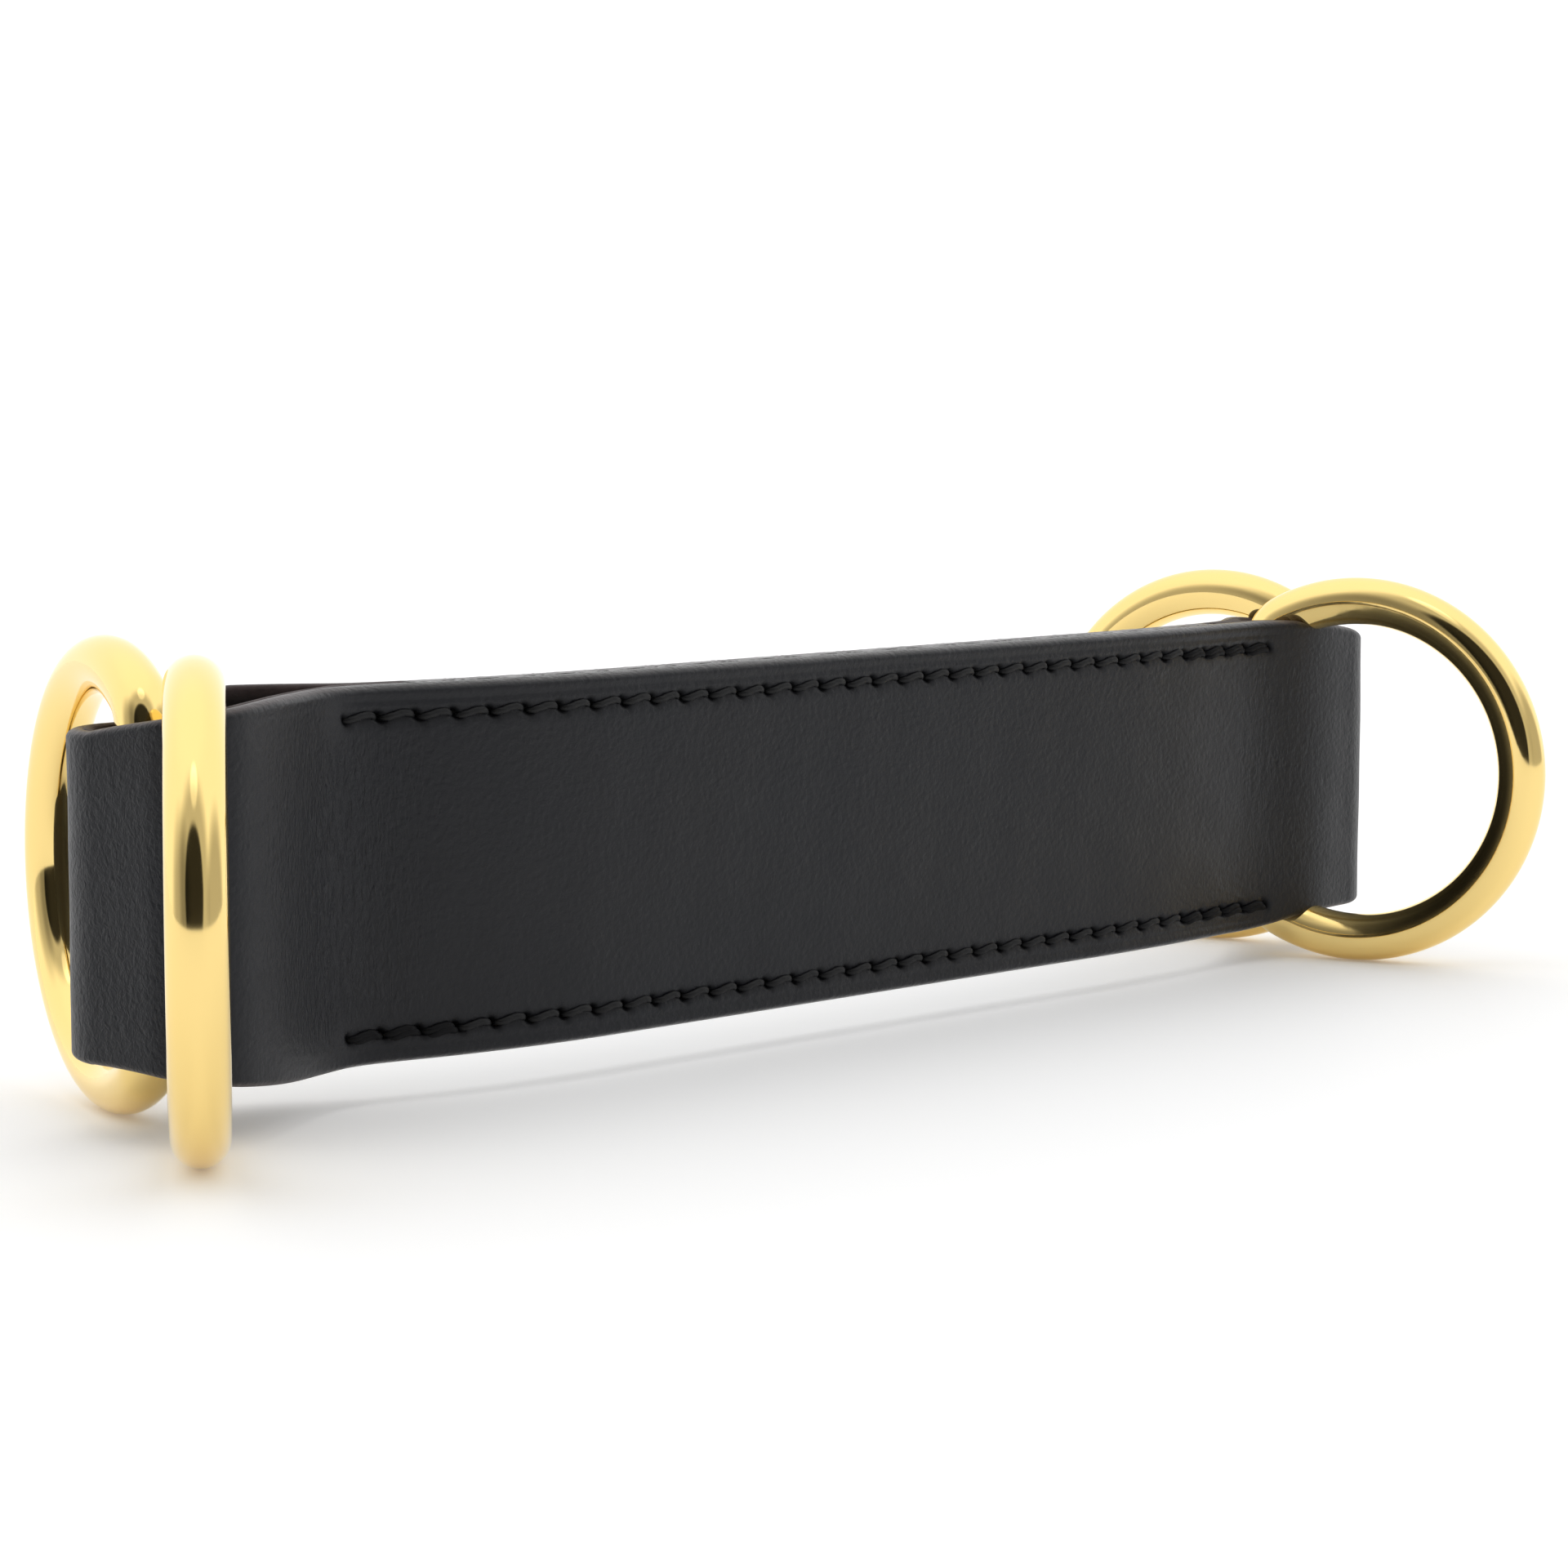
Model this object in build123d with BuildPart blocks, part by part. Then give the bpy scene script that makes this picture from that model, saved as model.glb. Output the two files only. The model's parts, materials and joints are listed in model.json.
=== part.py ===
"""Leather wrist strap standing on edge, with a pair of D-rings on the loop at each end.

The strap is one long band of leather folded back at both ends. Its two layers are stitched together
over a filler strip, and each fold is an open loop, lined inside, that holds the straight bars of two
D-rings. Millimetres. +X runs along the strap, +Z is up, and the rings stand on Z = 0.
"""

import math
import os

from build123d import *

os.makedirs("parts", exist_ok=True)

# Leather
STRAP_HEIGHT = 26.6
STRAP_MID_Z = 16.1
FOLD_HEIGHT = 22.4
LEATHER = 1.1
LINING = 0.7
WALL = LEATHER + LINING
BUTT_GAP = 0.2

# Plan of the stitched body: a straight middle, and both ends bent back towards +Y
STRAIGHT_HALF = 26.0
LEFT_BEND_RADIUS = 77.0
LEFT_BEND_ANGLE = 17.0
RIGHT_BEND_RADIUS = 176.0
RIGHT_BEND_ANGLE = 7.3
LINING_TAIL = 5.0

# Narrowing of the leather towards each fold, as distances along X from the strap's middle
LEFT_TAPER = (-49.5, -61.5)
RIGHT_TAPER = (46.0, 52.6)

# D-rings
WIRE = 4.0
RING_HEIGHT = 33.0
CHORD_OFFSET = 8.2
CORNER_RADIUS = 2.6
BAR_CLEARANCE = 3.4
# name: place of the bar's axis in plan, and the way that the ring points from its bar
RINGS = {
    "front_left": (-63.2, -0.1, -127.0),
    "rear_left": (-63.8, 4.6, 71.0),
    "front_right": (53.9, 2.6, -72.0),
    "rear_right": (60.0, 3.8, 103.0),
}

# Outer radii of the loops' smaller bends: round the bar nearest the front, over the shoulder where
# the back wall drops to the stitching, and in the creases where the walls leave the stitched body
LEFT_FRONT_RADIUS = 5.0
RIGHT_FRONT_RADIUS = 4.8
LEFT_SHOULDER = (-55.0, 5.2)
SHOULDER_RADIUS = 4.4
LEFT_CREASES = (2.0, 1.2)
RIGHT_CREASES = (2.0, 0.8)

# Stitching
STITCH_COUNT = 34
STITCH_PITCH = 2.9
STITCH_LENGTH = 2.5
THREAD = 0.6
ROW_FROM_EDGE = 2.25
STITCH_SLANT = 12.0

# Worked out from the above
WIRE_RADIUS = WIRE / 2
ARC_RADIUS = RING_HEIGHT / 2 - WIRE_RADIUS
RING_MID_Z = RING_HEIGHT / 2
RING_REACH = CHORD_OFFSET + ARC_RADIUS
FOLD_RADIUS = BAR_CLEARANCE + WALL
PAST_THE_STRAP = 100.0


def polar(centre, radius, angle):
    """The point at this radius and angle, in degrees, about a centre in plan."""
    turn = math.radians(angle)
    return (centre[0] + radius * math.cos(turn), centre[1] + radius * math.sin(turn))


def bar(name):
    """Where the axis of a ring's straight bar stands in plan."""
    return RINGS[name][:2]


def far_side(name):
    """Where the middle of a ring's wire stands in plan, opposite its bar."""
    return polar(bar(name), RING_REACH, RINGS[name][2])


# The origin is under the middle of the whole object's box
far_points = [far_side(name) for name in RINGS]
LEFT_EDGE = min(x for x, _ in far_points) - WIRE_RADIUS
RIGHT_EDGE = bar("rear_right")[0] + FOLD_RADIUS
FRONT_EDGE = min(y for _, y in far_points) - WIRE_RADIUS
REAR_EDGE = max(y for _, y in far_points) + WIRE_RADIUS
PLAN = Plane(origin=(-(LEFT_EDGE + RIGHT_EDGE) / 2, -(FRONT_EDGE + REAR_EDGE) / 2, 0))


def bend_point(side, across, angle):
    """A point of the bent end, this far behind the strap's middle line and this far round the bend."""
    radius = LEFT_BEND_RADIUS if side < 0 else RIGHT_BEND_RADIUS
    turn = math.radians(angle)
    x = STRAIGHT_HALF + (radius - across) * math.sin(turn)
    return (side * x, radius - (radius - across) * math.cos(turn))


def bend_angle(side):
    return LEFT_BEND_ANGLE if side < 0 else RIGHT_BEND_ANGLE


def strap_point(distance, across):
    """Plan point and heading, this far along the strap's middle line and this far behind it."""
    side = -1 if distance < 0 else 1
    beyond = abs(distance) - STRAIGHT_HALF
    if beyond <= 0:
        return (distance, across), 0.0
    radius = LEFT_BEND_RADIUS if side < 0 else RIGHT_BEND_RADIUS
    angle = math.degrees(beyond / radius)
    return bend_point(side, across, angle), side * angle


def tangent_heading(bend, following):
    """The heading of the straight run from one bend to the next, whose radii are positive to the left."""
    (centre, radius), (next_centre, next_radius) = bend, following
    span = math.dist(centre, next_centre)
    direct = math.atan2(next_centre[1] - centre[1], next_centre[0] - centre[0])
    return math.degrees(direct + math.asin((radius - next_radius) / span))


def fold_loop(side, inset):
    """One fold's surface this far inside the leather's outer face, from its front wall to its back."""
    end = "left" if side < 0 else "right"
    near, far = bar(f"front_{end}"), bar(f"rear_{end}")
    front_radius = LEFT_FRONT_RADIUS if side < 0 else RIGHT_FRONT_RADIUS
    shoulder = LEFT_SHOULDER if side < 0 else near
    front_crease, back_crease = LEFT_CREASES if side < 0 else RIGHT_CREASES
    angle = bend_angle(side)
    bends = [
        (bend_point(side, -WALL - front_crease, angle), -front_crease),
        (near, front_radius),
        (far, FOLD_RADIUS),
        (shoulder, SHOULDER_RADIUS),
        (bend_point(side, WALL + back_crease, angle), -back_crease),
    ]
    # Seen from above the right fold turns left and the left fold turns right
    bends = [(centre, side * (radius - inset)) for centre, radius in bends]
    outward = angle if side > 0 else 180 - angle
    runs = [tangent_heading(bend, following) for bend, following in zip(bends, bends[1:])]
    arrivals = [outward, *runs]
    departures = [*runs, outward + 180]
    previous = None
    for (centre, radius), arrival, departure in zip(bends, arrivals, departures):
        first = polar(centre, radius, arrival - 90)
        if previous:
            Line(previous, first)
        turn = (departure - arrival) % 360 if radius > 0 else -((arrival - departure) % 360)
        CenterArc(centre, abs(radius), arrival - math.copysign(90, radius), turn)
        previous = polar(centre, radius, departure - 90)


def body_side(across, first, last):
    """One face of the stitched body, between these distances round the left and right bends."""
    sides = {-1: (LEFT_BEND_RADIUS, first), 1: (RIGHT_BEND_RADIUS, last)}
    for side, (radius, angle) in sides.items():
        ThreePointArc(
            bend_point(side, across, 0),
            bend_point(side, across, angle / 2),
            bend_point(side, across, angle),
        )
    Line((-STRAIGHT_HALF, across), (STRAIGHT_HALF, across))


def taper_edge(high):
    """The upper or lower edge of the leather in side view, from the left end to the right."""
    full = STRAP_MID_Z + high * STRAP_HEIGHT / 2
    fold = RING_MID_Z + high * FOLD_HEIGHT / 2
    left_start, left_end = LEFT_TAPER
    right_start, right_end = RIGHT_TAPER
    Line((-PAST_THE_STRAP, fold), (left_end, fold))
    Bezier((left_end, fold), ((left_start + left_end) / 2, full), (left_start, full))
    Line((left_start, full), (right_start, full))
    Bezier((right_start, full), ((right_start + right_end) / 2, full), (right_end, fold))
    Line((right_end, fold), (PAST_THE_STRAP, fold))
    return (-PAST_THE_STRAP, fold), (PAST_THE_STRAP, fold)


def closed_outline(inset):
    """The whole strap's outline in plan, this far inside the leather's outer face."""
    fold_loop(-1, inset)
    fold_loop(1, inset)
    body_side(-(WALL - inset), LEFT_BEND_ANGLE, RIGHT_BEND_ANGLE)
    body_side(WALL - inset, LEFT_BEND_ANGLE, RIGHT_BEND_ANGLE)


# Side view: what lies between the leather's upper and lower edges
LEATHER_FOOT = STRAP_MID_Z - STRAP_HEIGHT / 2
side_plane = Plane(origin=PLAN.origin, x_dir=(1, 0, 0), z_dir=(0, -1, 0))
with BuildSketch(side_plane) as side_view:
    with BuildLine():
        top_left, top_right = taper_edge(1)
        low_left, low_right = taper_edge(-1)
        Line(top_left, low_left)
        Line(top_right, low_right)
    make_face()

# Leather band: one layer all the way round, with its ends butted at the middle of the back
with BuildPart() as strap_band:
    with BuildSketch(PLAN.offset(LEATHER_FOOT)):
        with BuildLine():
            closed_outline(0)
        make_face()
    extrude(amount=STRAP_HEIGHT)
    with BuildSketch(PLAN.offset(LEATHER_FOOT)):
        with BuildLine():
            closed_outline(LEATHER)
        make_face()
    extrude(amount=STRAP_HEIGHT, mode=Mode.SUBTRACT)
    with BuildSketch(PLAN.offset(LEATHER_FOOT)):
        with Locations((0, WALL - LEATHER / 2)):
            Rectangle(BUTT_GAP, LEATHER * 2)
    extrude(amount=STRAP_HEIGHT, mode=Mode.SUBTRACT)
    extrude(side_view.sketch, amount=PAST_THE_STRAP, both=True, mode=Mode.INTERSECT)
strap_band.part.label = "strap_band"
export_step(strap_band.part, "parts/strap_band.step")

# Linings: a second layer inside each loop, whose two tails run into the body side by side
TAIL_ANGLES = {
    -1: math.degrees(LINING_TAIL / LEFT_BEND_RADIUS),
    1: math.degrees(LINING_TAIL / RIGHT_BEND_RADIUS),
}
for name, side in (("left_lining", -1), ("right_lining", 1)):
    whole = bend_angle(side)
    tail = whole - TAIL_ANGLES[side]
    with BuildPart() as lining:
        with BuildSketch(PLAN.offset(LEATHER_FOOT)):
            with BuildLine():
                fold_loop(side, LEATHER)
                for across in (-LINING, LINING):
                    ThreePointArc(
                        bend_point(side, across, whole),
                        bend_point(side, across, (whole + tail) / 2),
                        bend_point(side, across, tail),
                    )
                Line(bend_point(side, -LINING, tail), bend_point(side, LINING, tail))
            make_face()
        extrude(amount=STRAP_HEIGHT)
        with BuildSketch(PLAN.offset(LEATHER_FOOT)):
            with BuildLine():
                fold_loop(side, WALL)
            make_face()
        extrude(amount=STRAP_HEIGHT, mode=Mode.SUBTRACT)
        extrude(side_view.sketch, amount=PAST_THE_STRAP, both=True, mode=Mode.INTERSECT)
    lining.part.label = name
    export_step(lining.part, f"parts/{name}.step")

# Filler strip: it fills the stitched body between the two linings' tails
with BuildPart() as filler_strip:
    left_end = LEFT_BEND_ANGLE - TAIL_ANGLES[-1]
    right_end = RIGHT_BEND_ANGLE - TAIL_ANGLES[1]
    with BuildSketch(PLAN.offset(LEATHER_FOOT)):
        with BuildLine():
            body_side(-LINING, left_end, right_end)
            body_side(LINING, left_end, right_end)
            for side, angle in ((-1, left_end), (1, right_end)):
                Line(bend_point(side, -LINING, angle), bend_point(side, LINING, angle))
        make_face()
    extrude(amount=STRAP_HEIGHT)
filler_strip.part.label = "filler_strip"
export_step(filler_strip.part, "parts/filler_strip.step")

# Stitches: one row near each edge, seen on the front and on the back
ROW_HEIGHT = STRAP_HEIGHT / 2 - ROW_FROM_EDGE
for name, row in (("upper_stitches", 1), ("lower_stitches", -1)):
    with BuildPart() as stitches:
        for face in (-1, 1):
            for number in range(STITCH_COUNT):
                along = (number - (STITCH_COUNT - 1) / 2) * STITCH_PITCH
                (x, y), heading = strap_point(along, face * WALL)
                centre = PLAN.origin + Vector(x, y, STRAP_MID_Z + row * ROW_HEIGHT)
                with Locations(Location(centre, (0, 0, heading))):
                    Cylinder(THREAD / 2, STITCH_LENGTH, rotation=(0, 90 + face * STITCH_SLANT, 0))
    stitches.part.label = name
    export_step(stitches.part, f"parts/{name}.step")

# D-rings: a straight bar inside the loop, and a round wire outside it
corner_x = CORNER_RADIUS
corner_z = math.sqrt((ARC_RADIUS - CORNER_RADIUS) ** 2 - (corner_x - CHORD_OFFSET) ** 2)
corner_turn = math.degrees(math.atan2(corner_z, corner_x - CHORD_OFFSET))
for name, (x, y, heading) in RINGS.items():
    turn = math.radians(heading)
    ring_plane = Plane(
        origin=PLAN.origin + Vector(x, y, RING_MID_Z),
        x_dir=(math.cos(turn), math.sin(turn), 0),
        z_dir=(math.sin(turn), -math.cos(turn), 0),
    )
    with BuildPart() as d_ring:
        with BuildLine(ring_plane) as wire_path:
            Line((0, -corner_z), (0, corner_z))
            CenterArc((corner_x, corner_z), CORNER_RADIUS, 180, corner_turn - 180)
            CenterArc((CHORD_OFFSET, 0), ARC_RADIUS, corner_turn, -2 * corner_turn)
            CenterArc((corner_x, -corner_z), CORNER_RADIUS, -corner_turn, corner_turn - 180)
        with BuildSketch(Plane(origin=ring_plane.origin, x_dir=ring_plane.x_dir, z_dir=(0, 0, 1))):
            Circle(WIRE_RADIUS)
        sweep(path=wire_path.wires()[0])
    d_ring.part.label = f"{name}_ring"
    export_step(d_ring.part, f"parts/{name}_ring.step")
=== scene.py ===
"""Looks of the leather grip strap with two D-rings at each end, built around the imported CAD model.

Lengths in the named values are millimetres, as in the part's own source; MM turns them into metres.
Places in plan are measured from the middle of the strap, until they are put into the frame.
"""

import json
import math

import bpy
import numpy as np
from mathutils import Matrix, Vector


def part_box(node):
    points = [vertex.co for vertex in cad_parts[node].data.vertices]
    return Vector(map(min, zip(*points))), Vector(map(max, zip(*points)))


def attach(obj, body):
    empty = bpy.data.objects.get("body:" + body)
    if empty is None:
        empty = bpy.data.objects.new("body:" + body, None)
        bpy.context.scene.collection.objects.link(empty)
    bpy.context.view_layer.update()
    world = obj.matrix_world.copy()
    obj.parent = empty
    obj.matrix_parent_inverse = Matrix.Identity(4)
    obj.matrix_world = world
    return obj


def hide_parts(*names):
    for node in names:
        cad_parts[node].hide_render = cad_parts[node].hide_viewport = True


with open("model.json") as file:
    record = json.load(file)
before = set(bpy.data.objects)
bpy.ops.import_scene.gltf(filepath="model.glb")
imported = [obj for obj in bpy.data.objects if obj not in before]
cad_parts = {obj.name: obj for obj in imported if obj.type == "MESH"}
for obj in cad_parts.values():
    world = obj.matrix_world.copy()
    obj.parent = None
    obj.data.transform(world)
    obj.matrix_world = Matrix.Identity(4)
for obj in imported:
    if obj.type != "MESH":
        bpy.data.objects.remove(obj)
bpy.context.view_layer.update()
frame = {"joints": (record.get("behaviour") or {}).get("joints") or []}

MM = 0.001

# Camera: its place, its plan direction and tilt in degrees, and its focal length on a 36 mm sensor
CAMERA_PLACE = (-218.7, -220.4, 52.3)
CAMERA_HEADING = 44.93
CAMERA_PITCH = -6.06
CAMERA_LENS = 93.75

# Strap: its lower and upper edge, the layers of its wall, and the plan of its stitched body, which is
# straight in the middle and bends back towards each end
STRAP_LOW = 2.8
STRAP_TOP = 29.4
LEATHER = 1.1
LINING = 0.7
WALL = LEATHER + LINING
BUTT_GAP = 0.2
STRAIGHT_HALF = 26.0
BEND_RADIUS = {-1: 77.0, 1: 176.0}
BEND_ANGLE = {-1: math.radians(17.0), 1: math.radians(7.3)}
LINING_TAIL = 5.0

# Loops: outer radii of their bends, the left one's shoulder, and the creases' radii at front and back
BAR_CLEARANCE = 3.4
FOLD_RADIUS = BAR_CLEARANCE + WALL
FRONT_RADIUS = {-1: 5.0, 1: 4.8}
SHOULDER_RADIUS = 4.4
LEFT_SHOULDER = (-55.0, 5.2)
CREASES = {-1: (2.0, 1.2), 1: (2.0, 0.8)}
FRONT_LEFT_BAR_X = -63.2

# Stitching
STITCH_COUNT = 34
STITCH_PITCH = 2.9
STITCH_LENGTH = 2.5
ROW_FROM_EDGE = 2.25
ROWS = {"lower": STRAP_LOW + ROW_FROM_EDGE, "upper": STRAP_TOP - ROW_FROM_EDGE}
STITCHED_HALF = STITCH_COUNT * STITCH_PITCH / 2

# D-rings: the wire, its large arc and its corners, and the plan direction of each ring at rest, in degrees
WIRE_RADIUS = 2.0
ARC_RADIUS = 14.5
CHORD_OFFSET = 8.2
CORNER_RADIUS = 2.6
RING_MID_Z = 16.5
RING_HEADINGS = {"front_left": -127.0, "rear_left": 71.0, "front_right": -72.0, "rear_right": 103.0}

# Light tent: towards each part of it, the angles between which it fades, and its level against the rest
TENT_LEVEL = 1.2
TENT = {
    "opening": ((-0.70, -0.70, 0.26), 29, 34, 0.05),
    "front": ((-0.70, -0.70, 0.30), 40, 60, 0.5),
    "left": ((-1.0, 0.05, 0.1), 12, 42, 0.42),
    "side": ((0.545, -0.839, 0.0), 22, 40, 0.45),
    "overhead": ((0.0, 0.25, 1.0), 15, 45, 1.05),
    "panel": ((-0.30, -0.30, 0.90), 8, 13, 1.7),
}
FLOOR_HALF_METRES = 2.0

# Darkest and palest colour of each surface
LEATHER_FACE = ((0.0050, 0.0058, 0.0088), (0.0068, 0.0071, 0.0095))
LOOP_RIM = ((0.030, 0.023, 0.024), (0.075, 0.058, 0.058))
BODY_RIM = ((0.012, 0.011, 0.012), (0.030, 0.027, 0.027))
LINING_NAP = ((0.0070, 0.0055, 0.0052), (0.0150, 0.0110, 0.0100))
LINING_RIM = ((0.022, 0.014, 0.014), (0.062, 0.040, 0.038))
CORE = ((0.012, 0.010, 0.011), (0.036, 0.028, 0.027))
THREAD = ((0.0035, 0.0035, 0.004), (0.009, 0.009, 0.010))
GOLD = ((0.93, 0.69, 0.262), (0.95, 0.715, 0.29))
# Painted shade: the near-black put into each stitch hole and along the stitching groove
HOLE_PAINTED_SHADE = (0.0008, 0.0008, 0.0010)


# ---------------------------------------------------------------- plan of the strap

# Outline: the step round its bends and the step of the even stations
BEND_STEP = 0.15
STATION_STEP = 0.25

# Where the two walls part, and where the lining between them is thin again, past the stitched body's end
WALLS_PART = (-1.5, 2.5)
LINING_THINS = (-1.0, 2.5)

# Easing of the creases: its reach, and where it sets in and ends, past the same place
RELAX_REACH = 2.8
RELAX_SETS_IN = (-9.0, -4.0)
RELAX_ENDS = (7.0, 12.0)

# Edges of the leather near the folds, by distance from the fold's tip
SAG_FROM = 20.0
LEFT_SAG = 0.0051
LEFT_RISE = 2.35
LEFT_RISE_FROM = 27.0
LEFT_BACK_LOW = 5.1
LEFT_BACK_TOP = 27.36
LEFT_BACK_WIDENS = (9.5, 18.5)
RIGHT_SAG = 0.0069
RIGHT_SAG_LIMIT = 1.75
RIGHT_TIP_SLOPE = 0.05
RIGHT_TIP_FROM = 6.0
RIGHT_RISE = 1.15
RIGHT_RISE_FADES = (12, 22)


def joint_place(name):
    """Where a joint stands in the frame, in millimetres."""
    for joint in frame["joints"]:
        if joint["name"] == name:
            return Vector(joint["pos_m"]) / MM
    raise ValueError(name)


# The strap's middle in the frame: along X from a ring's hinge, along Y from the filler strip's front
MIDDLE = np.array([
    joint_place("front_left_swing").x - FRONT_LEFT_BAR_X,
    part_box("filler_strip")[0].y / MM + LINING,
])


def bar(name):
    """Where the axis of a ring's bar stands, from the strap's middle."""
    place = joint_place(f"{name}_swing")
    return (place.x - MIDDLE[0], place.y - MIDDLE[1])


def smooth(low, high, value):
    """Smooth step from 0 at low to 1 at high."""
    t = np.clip((value - low) / (high - low), 0, 1)
    return t * t * (3 - 2 * t)


def bump_at(value, centre, width):
    """Bell curve, 1 at its centre."""
    return np.exp(-(((value - centre) / width) ** 2))


def bend_point(side, across, angle):
    """Plan point in the bend of one half of the body, this far behind the middle of the leather."""
    radius = BEND_RADIUS[side]
    x = STRAIGHT_HALF + (radius - across) * math.sin(angle)
    return (side * x, radius - (radius - across) * math.cos(angle))


def strap_bends():
    """Bends of the outer face, clockwise from the middle of the back; a radius is positive to the left."""
    bends = []
    for side in (1, -1):
        end = "right" if side > 0 else "left"
        near, far = bar(f"front_{end}"), bar(f"rear_{end}")
        shoulder = near if side > 0 else LEFT_SHOULDER
        front_crease, back_crease = CREASES[side]
        angle = BEND_ANGLE[side]
        body_centre = (side * STRAIGHT_HALF, BEND_RADIUS[side])
        fold = [
            (body_centre, BEND_RADIUS[side] - WALL),
            (bend_point(side, WALL + back_crease, angle), back_crease),
            (shoulder, -SHOULDER_RADIUS),
            (far, -FOLD_RADIUS),
            (near, -FRONT_RADIUS[side]),
            (bend_point(side, -WALL - front_crease, angle), front_crease),
            (body_centre, -BEND_RADIUS[side] - WALL),
        ]
        bends += fold if side > 0 else fold[::-1]
    return bends


def run_heading(bend, following):
    """Direction of the straight run that touches both bends."""
    (centre, radius), (next_centre, next_radius) = bend, following
    span = math.dist(centre, next_centre)
    direct = math.atan2(next_centre[1] - centre[1], next_centre[0] - centre[0])
    return direct + math.asin(max(-1.0, min(1.0, (radius - next_radius) / span)))


def sample_steps(length, step):
    return max(1, math.ceil(length / step - 1e-9))


def strap_outline():
    """Points along the outer face, from one side of the butt joint round to the other."""
    bends = strap_bends()
    runs = [run_heading(a, b) for a, b in zip(bends, bends[1:])]
    arrivals = [0.0, *runs]
    departures = [*runs, 0.0]
    points = [(BUTT_GAP / 2, WALL)]
    for (centre, radius), arrival, departure in zip(bends, arrivals, departures):
        turn = departure - arrival
        turn = turn % math.tau if radius > 0 else -(-turn % math.tau)
        # a turn of nothing may come out as a whole one
        if abs(abs(turn) - math.tau) < 1e-6:
            turn = 0.0
        count = sample_steps(abs(turn * radius), BEND_STEP)
        for number in range(count + 1):
            heading = arrival + turn * number / count
            points.append((centre[0] + radius * math.sin(heading), centre[1] - radius * math.cos(heading)))
    points.append((-BUTT_GAP / 2, WALL))
    return np.array(points)


def middle_line(points):
    """How far along the strap's middle line each plan point lies, and how far past the stitched body."""
    x, y = points.T
    side = np.where(x < 0, -1, 1)
    radius = np.where(side < 0, BEND_RADIUS[-1], BEND_RADIUS[1])
    beyond = np.clip(np.abs(x) - STRAIGHT_HALF, 0, None)
    along = np.where(beyond > 0, side * (STRAIGHT_HALF + radius * np.arctan2(beyond, radius - y)), x)
    ends = np.where(side < 0, *(STRAIGHT_HALF + BEND_RADIUS[s] * BEND_ANGLE[s] for s in (-1, 1)))
    return along, np.abs(along) - ends


def relaxed(points):
    """Even stations along the outline with its creases eased, as leather leaves no sharp change of curve.

    Returns their points, their headings, and how far easing has moved each one outwards.
    """
    run = np.concatenate([[0], np.cumsum(np.hypot(*np.diff(points, axis=0).T))])
    even = np.linspace(0, run[-1], round(run[-1] / STATION_STEP) + 1)
    line = np.stack([np.interp(even, run, points[:, k]) for k in (0, 1)], 1)
    reach = int(3 * RELAX_REACH / STATION_STEP)
    kernel = np.exp(-0.5 * (np.arange(-reach, reach + 1) * STATION_STEP / RELAX_REACH) ** 2)
    kernel /= kernel.sum()
    padded = np.pad(line, ((reach, reach), (0, 0)), mode="edge")
    eased = np.stack([np.convolve(padded[:, k], kernel, "valid") for k in (0, 1)], 1)
    _, past_end = middle_line(line)
    share = smooth(*RELAX_SETS_IN, past_end) * (1 - smooth(*RELAX_ENDS, past_end))
    move = (eased - line) * share[:, None]
    before = outline_headings(line)
    swell = move[:, 1] * np.cos(before) - move[:, 0] * np.sin(before)
    points = line + move
    return points, outline_headings(points), swell


def outline_headings(points):
    slope = np.gradient(points, axis=0)
    return np.unwrap(np.arctan2(slope[:, 1], slope[:, 0]))


def fold_heights(side, reach):
    """Upper and lower edge of the leather at this distance from the fold's tip, positive at the front."""
    front = np.clip(reach, 0, None)
    back = np.clip(-reach, 0, None)
    if side < 0:
        top = STRAP_TOP - LEFT_SAG * np.clip(SAG_FROM - front, 0, None) ** 2
        low = STRAP_LOW + LEFT_RISE * (1 + np.cos(math.pi * np.clip(front / LEFT_RISE_FROM, 0, 1))) / 2
        widen = smooth(*LEFT_BACK_WIDENS, back)
        top = np.where(reach < 0, LEFT_BACK_TOP + (STRAP_TOP - LEFT_BACK_TOP) * widen, top)
        low = np.where(reach < 0, LEFT_BACK_LOW + (STRAP_LOW - LEFT_BACK_LOW) * widen, low)
        return top, low
    away = np.abs(reach)
    sag = RIGHT_SAG * np.clip(SAG_FROM - away, 0, None) ** 2
    limit = RIGHT_SAG_LIMIT + RIGHT_TIP_SLOPE * np.clip(RIGHT_TIP_FROM - away, 0, None)
    top = STRAP_TOP - np.minimum(sag, limit)
    low = STRAP_LOW + RIGHT_RISE * (1 - smooth(*RIGHT_RISE_FADES, away))
    return top, low


class Strap:
    """What every layer of the leather shares: the outer face's stations and what is true at each."""

    def __init__(self):
        self.points, self.headings, self.swell = relaxed(strap_outline())
        x, y = self.points.T
        steps = np.hypot(np.diff(x), np.diff(y))
        self.run = np.concatenate([[0], np.cumsum(steps)])
        self.inward = np.stack([np.sin(self.headings), -np.cos(self.headings)], 1)
        self.side = np.where(x < 0, -1, 1)
        tips = {-1: self.run[np.argmin(x)], 1: self.run[np.argmax(x)]}
        tip = np.where(self.side < 0, tips[-1], tips[1])
        self.reach = np.where(self.side < 0, tip - self.run, self.run - tip)
        self.back = (self.run < tips[1]) | (self.run > tips[-1])
        self.along, self.past_end = middle_line(self.points)
        self.joined = 1 - smooth(*WALLS_PART, self.past_end)
        left = fold_heights(-1, self.reach)
        right = fold_heights(1, self.reach)
        self.top = np.where(self.side < 0, left[0], right[0])
        self.low = np.where(self.side < 0, left[1], right[1])

    def place(self, depth, z, stations=slice(None)):
        """Points this far inside the outer face, (stations, rows, 3), in the frame, in millimetres."""
        flat = self.points[stations][:, None, :] + self.inward[stations][:, None, :] * depth[..., None]
        flat = flat + MIDDLE
        return np.concatenate([flat, z[..., None]], -1)


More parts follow.
